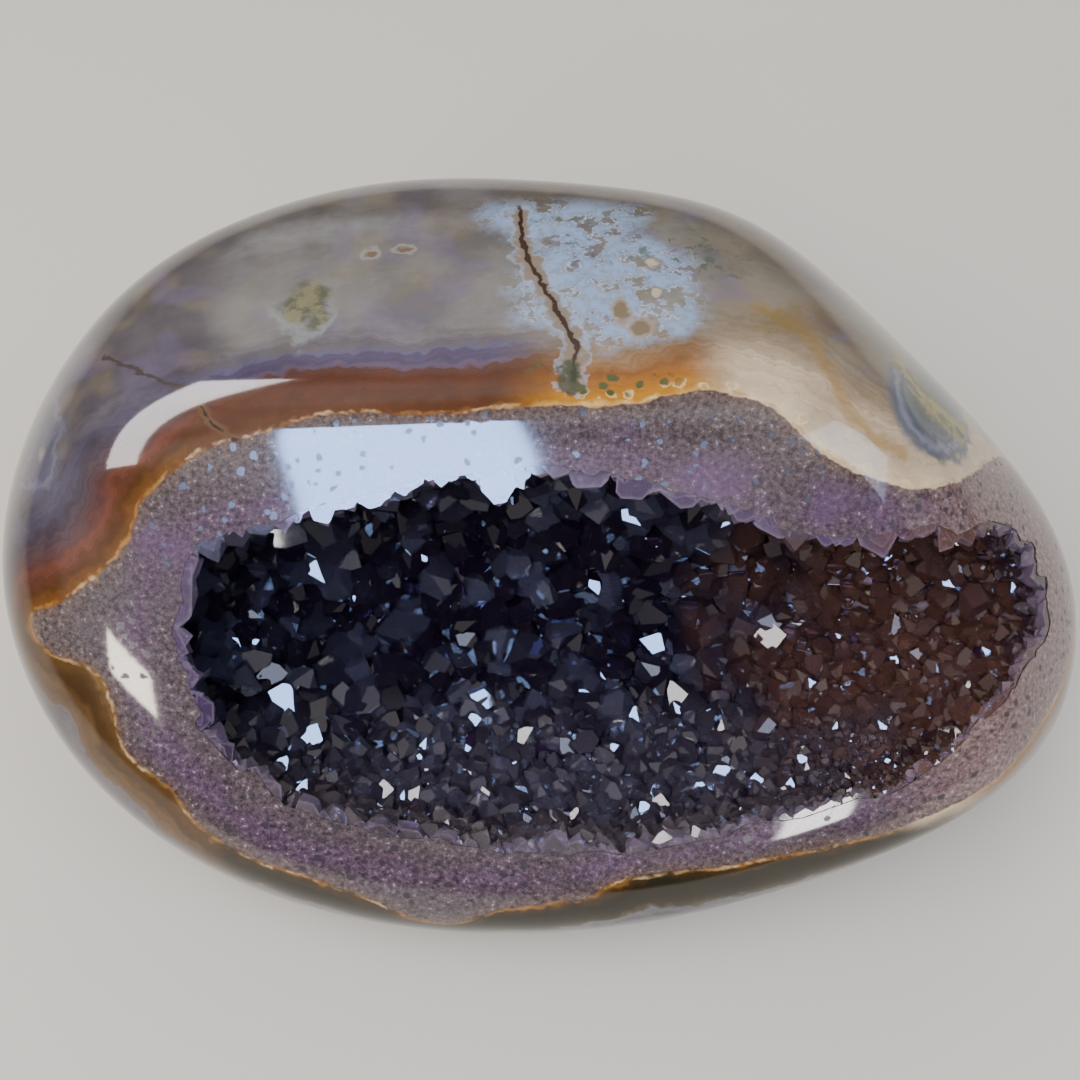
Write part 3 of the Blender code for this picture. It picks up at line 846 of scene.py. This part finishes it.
for tip_right, tip_up, radius in HANGING_POINTS:
    tip = surface_over(np.array(((tip_right, tip_up),)))[0]
    k = int(np.argmin(np.linalg.norm(edge_in - tip, axis=1)))
    way = tip - edge_in[k] + (edge_further[k] - edge_in[k]) * 0.5
    way /= np.linalg.norm(way)
    surface = surface_normal(tip[None])[0]
    lean = way - surface * chance.uniform(0.1, 0.35)
    lean /= np.linalg.norm(lean)
    pale_points.append((tip - lean * radius * 1.3 - surface * radius * 0.3, lean, radius * 0.9))

dark_amethyst = joined_points("dark_amethyst", dark_points)
amethyst = Finish(bpy.data.materials.new("amethyst"))
place = amethyst.on_face()
right, up, _ = amethyst.parts(place)
lot = amethyst.number("lot")
uneven = amethyst.noise(place, 0.16, 0) - 0.5
tint = amethyst.mix(lot.between(0.35, 1.0), rgb(54, 44, 72), rgb(124, 126, 162))
rusty = (right + uneven * 30 + lot * 6).between(20, 46)
tint = amethyst.mix(rusty * 0.85, tint, rgb(146, 104, 92))
tint = amethyst.mix((up + uneven * 10).between(-24, -35) * 0.6, tint, rgb(132, 124, 146))
amethyst.set(amethyst.shader.inputs["Base Color"], tint)
amethyst.set(amethyst.shader.inputs["Roughness"], lot * 0.05)
amethyst.shader.inputs["IOR"].default_value = QUARTZ_IOR
amethyst.shader.inputs["Transmission Weight"].default_value = 0.8
haze = amethyst.node("ShaderNodeVolumeAbsorption", {}, {"Color": rgb(168, 150, 178), "Density": 260.0})
amethyst.set(amethyst.surface_output.inputs["Volume"], haze)
dark_amethyst.data.materials.append(amethyst.owner)
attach(dark_amethyst, "root")
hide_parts("amethyst_crust")

# The pale points at the mouth
#
# The outermost amethyst points, of clearer lilac. The wheel ground them off with the face, so their cut
# sections lie just below the polish of the ring, and their tips hang over the hollow.

pale_amethyst = joined_points("pale_amethyst", pale_points)
lilac = Finish(bpy.data.materials.new("lilac_amethyst"))
place = lilac.on_face()
right, up, out = lilac.parts(place)
lot = lilac.number("lot")
uneven = lilac.noise(place, 0.4, 1) - 0.5
hem = lilac.number("hem")
tint = lilac.mix(lot, rgb(92, 66, 116), rgb(140, 122, 156))
tint = lilac.mix((up + uneven * 5).between(-20, -29), tint, lilac.mix(lot, rgb(84, 74, 88), rgb(140, 128, 138)))
tint = lilac.mix((right + uneven * 18 + lot * 5).between(34, 54), tint, rgb(134, 96, 84))
tint = lilac.mix((out + uneven * 6).between(20, 12) * 0.75, tint, rgb(52, 36, 66))
flaws = lilac.noise(place, 1.1, 2, 0.7)
tint = lilac.mix(flaws.between(0.55, 0.7) * 0.35, tint, rgb(196, 184, 206))
tint = lilac.mix(hem * 0.5, tint, rgb(184, 166, 196))
lilac.set(lilac.shader.inputs["Base Color"], tint)
lilac.set(lilac.shader.inputs["Roughness"], flaws * 0.12)
lilac.shader.inputs["IOR"].default_value = QUARTZ_IOR
lilac.shader.inputs["Transmission Weight"].default_value = 0.68
haze = lilac.node("ShaderNodeVolumeAbsorption", {}, {"Color": rgb(196, 170, 214), "Density": 160.0})
lilac.set(lilac.surface_output.inputs["Volume"], haze)
pale_amethyst.data.materials.append(lilac.owner)
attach(pale_amethyst, "root")
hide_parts("amethyst_crust")

# The base of the crust
#
# The massive, darker quartz that the points stand on, grown onto the hollow's wall. Little of it shows.

base = bmesh.new()
bmesh.ops.create_uvsphere(base, u_segments=160, v_segments=60, radius=1)
base_mesh = bpy.data.meshes.new("crust_base")
base.to_mesh(base_mesh)
base.free()
across, along, upright = coordinates(base_mesh).T
from_top, turn = np.arctan2(np.hypot(across, along), upright), np.arctan2(along, across)
front_side = from_top < math.pi / 2
rise = np.where(front_side, from_top, math.pi - from_top) / (math.pi / 2) * 0.97
base_points = np.where(
    front_side[:, None],
    hollow_point(turn, rise, mouth_line(np.maximum(lip(ONCE_ROUND), BASE_FRONT)), BASE_FRONT),
    hollow_point(turn, rise, mouth_line(CRUST_BACK), CRUST_BACK),
)
base_mesh.vertices.foreach_set("co", placed(base_points).ravel())
base_mesh.shade_smooth()
crust_base = bpy.data.objects.new("crust_base", base_mesh)
bpy.context.scene.collection.objects.link(crust_base)

massive = Finish(bpy.data.materials.new("massive_amethyst"))
place = massive.on_face()
right, _, out = massive.parts(place)
uneven = massive.noise(place, 0.5, 4) - 0.5
tint = massive.mix((right + uneven * 22).between(22, 42), rgb(30, 20, 36), rgb(84, 54, 44))
tint = massive.mix((out + uneven * 5).between(17, 22), tint, rgb(96, 76, 104))
massive.set(massive.shader.inputs["Base Color"], tint)
massive.set(massive.shader.inputs["Roughness"], massive.noise(place, 1.5, 2) * 0.2 + 0.55)
massive.shader.inputs["IOR"].default_value = AGATE_IOR
base_mesh.materials.append(massive.owner)
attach(crust_base, "root")
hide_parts("amethyst_crust")

# The table top
#
# A plain pale surface that the stone stands on. It isn't part of the stone.

table = bmesh.new()
bmesh.ops.create_grid(table, x_segments=1, y_segments=1, size=1.5)
table_mesh = bpy.data.meshes.new("table_top")
table.to_mesh(table_mesh)
table.free()
table_top = bpy.data.objects.new("table_top", table_mesh)
bpy.context.scene.collection.objects.link(table_top)
matt = Finish(bpy.data.materials.new("matt_table"))
matt.set(matt.shader.inputs["Base Color"], rgb(204, 200, 192))
matt.set(matt.shader.inputs["Roughness"], 0.75)
table_mesh.materials.append(matt.owner)

# The light
#
# A soft grey room with lighter and darker places, a large cool panel above and in front, a long strip on the
# left, a small warm panel on the left and a small white one on the right. They stand where the polished
# stone mirrors them. A key light, a side panel and a back panel light the rest.

room = Finish(bpy.data.worlds.new("room"))
bpy.context.scene.world = room.owner
way = room.node("ShaderNodeTexCoord", {}, {}, "Generated")
height = room.parts(way)[2]
walls = room.node("ShaderNodeValToRGB", {"stops": [(0.05, rgb(110, 110, 112)), (0.8, rgb(252, 248, 242))]}, {0: height})
unevenness = room.noise(way, 2.4, 0.0)
strength = room.node("ShaderNodeMapRange", {}, {0: unevenness, 1: 0.40, 2: 0.64, 3: 0.25, 4: 1.25})
room.set(room.tree.nodes["Background"].inputs["Color"], walls)
room.set(room.tree.nodes["Background"].inputs["Strength"], strength)


def panel(name, middle, size, colour, power, aim):
    """A soft panel of light, turned to a point. The second of its sizes in m lies along its aim seen from above."""
    lamp = bpy.data.lights.new(name, "AREA")
    lamp.shape = "RECTANGLE"
    lamp.size, lamp.size_y = size
    lamp.color = colour[:3]
    lamp.energy = power
    light = bpy.data.objects.new(name, lamp)
    bpy.context.scene.collection.objects.link(light)
    light.location = middle
    light.rotation_euler = (Vector(aim) - Vector(middle)).to_track_quat("-Z", "Y").to_euler()
    return light


window = panel("window", (-0.085, -0.275, 0.600), (0.150, 0.46), rgb(156, 192, 255), 10.5, (-0.105, -0.01, 0.057))
window.visible_diffuse = False
key = panel("key", (-0.25, -0.20, 0.60), (0.55, 0.55), rgb(255, 250, 244), 4.4, (0, 0, 0.03))
key.visible_glossy = False
panel("warm_panel", (-0.333, -0.475, 0.318), (0.085, 0.060), rgb(255, 246, 226), 0.6, (-0.048, -0.029, 0.042))
panel("white_panel", (0.205, -0.570, 0.215), (0.065, 0.11), rgb(255, 252, 248), 0.7, (0.035, -0.042, 0.032))
panel("side_panel", (0.38, -0.20, 0.62), (0.26, 0.26), rgb(206, 220, 255), 1.2, (0, 0, 0.03))
strip = panel("strip", (-0.345, 0.15, 0.60), (0.84, 0.12), rgb(255, 250, 250), 5.2, (-0.245, 0.13, 0.03))
strip.visible_diffuse = False
back_panel = panel("back_panel", (0.10, 0.55, 0.50), (0.50, 0.20), rgb(255, 252, 248), 1.2, (0, 0, 0.03))
back_panel.visible_glossy = False

# The camera
#
# It looks down at the stone from in front, as in the photograph.

lens = bpy.data.cameras.new("camera")
lens.lens = 45
lens.sensor_width = 36
lens.clip_start = 0.01
camera = bpy.data.objects.new("camera", lens)
bpy.context.scene.collection.objects.link(camera)
camera.location = (0.0005, -0.0952, 0.18885)
camera.rotation_euler = (math.radians(30), 0, 0)
bpy.context.scene.camera = camera
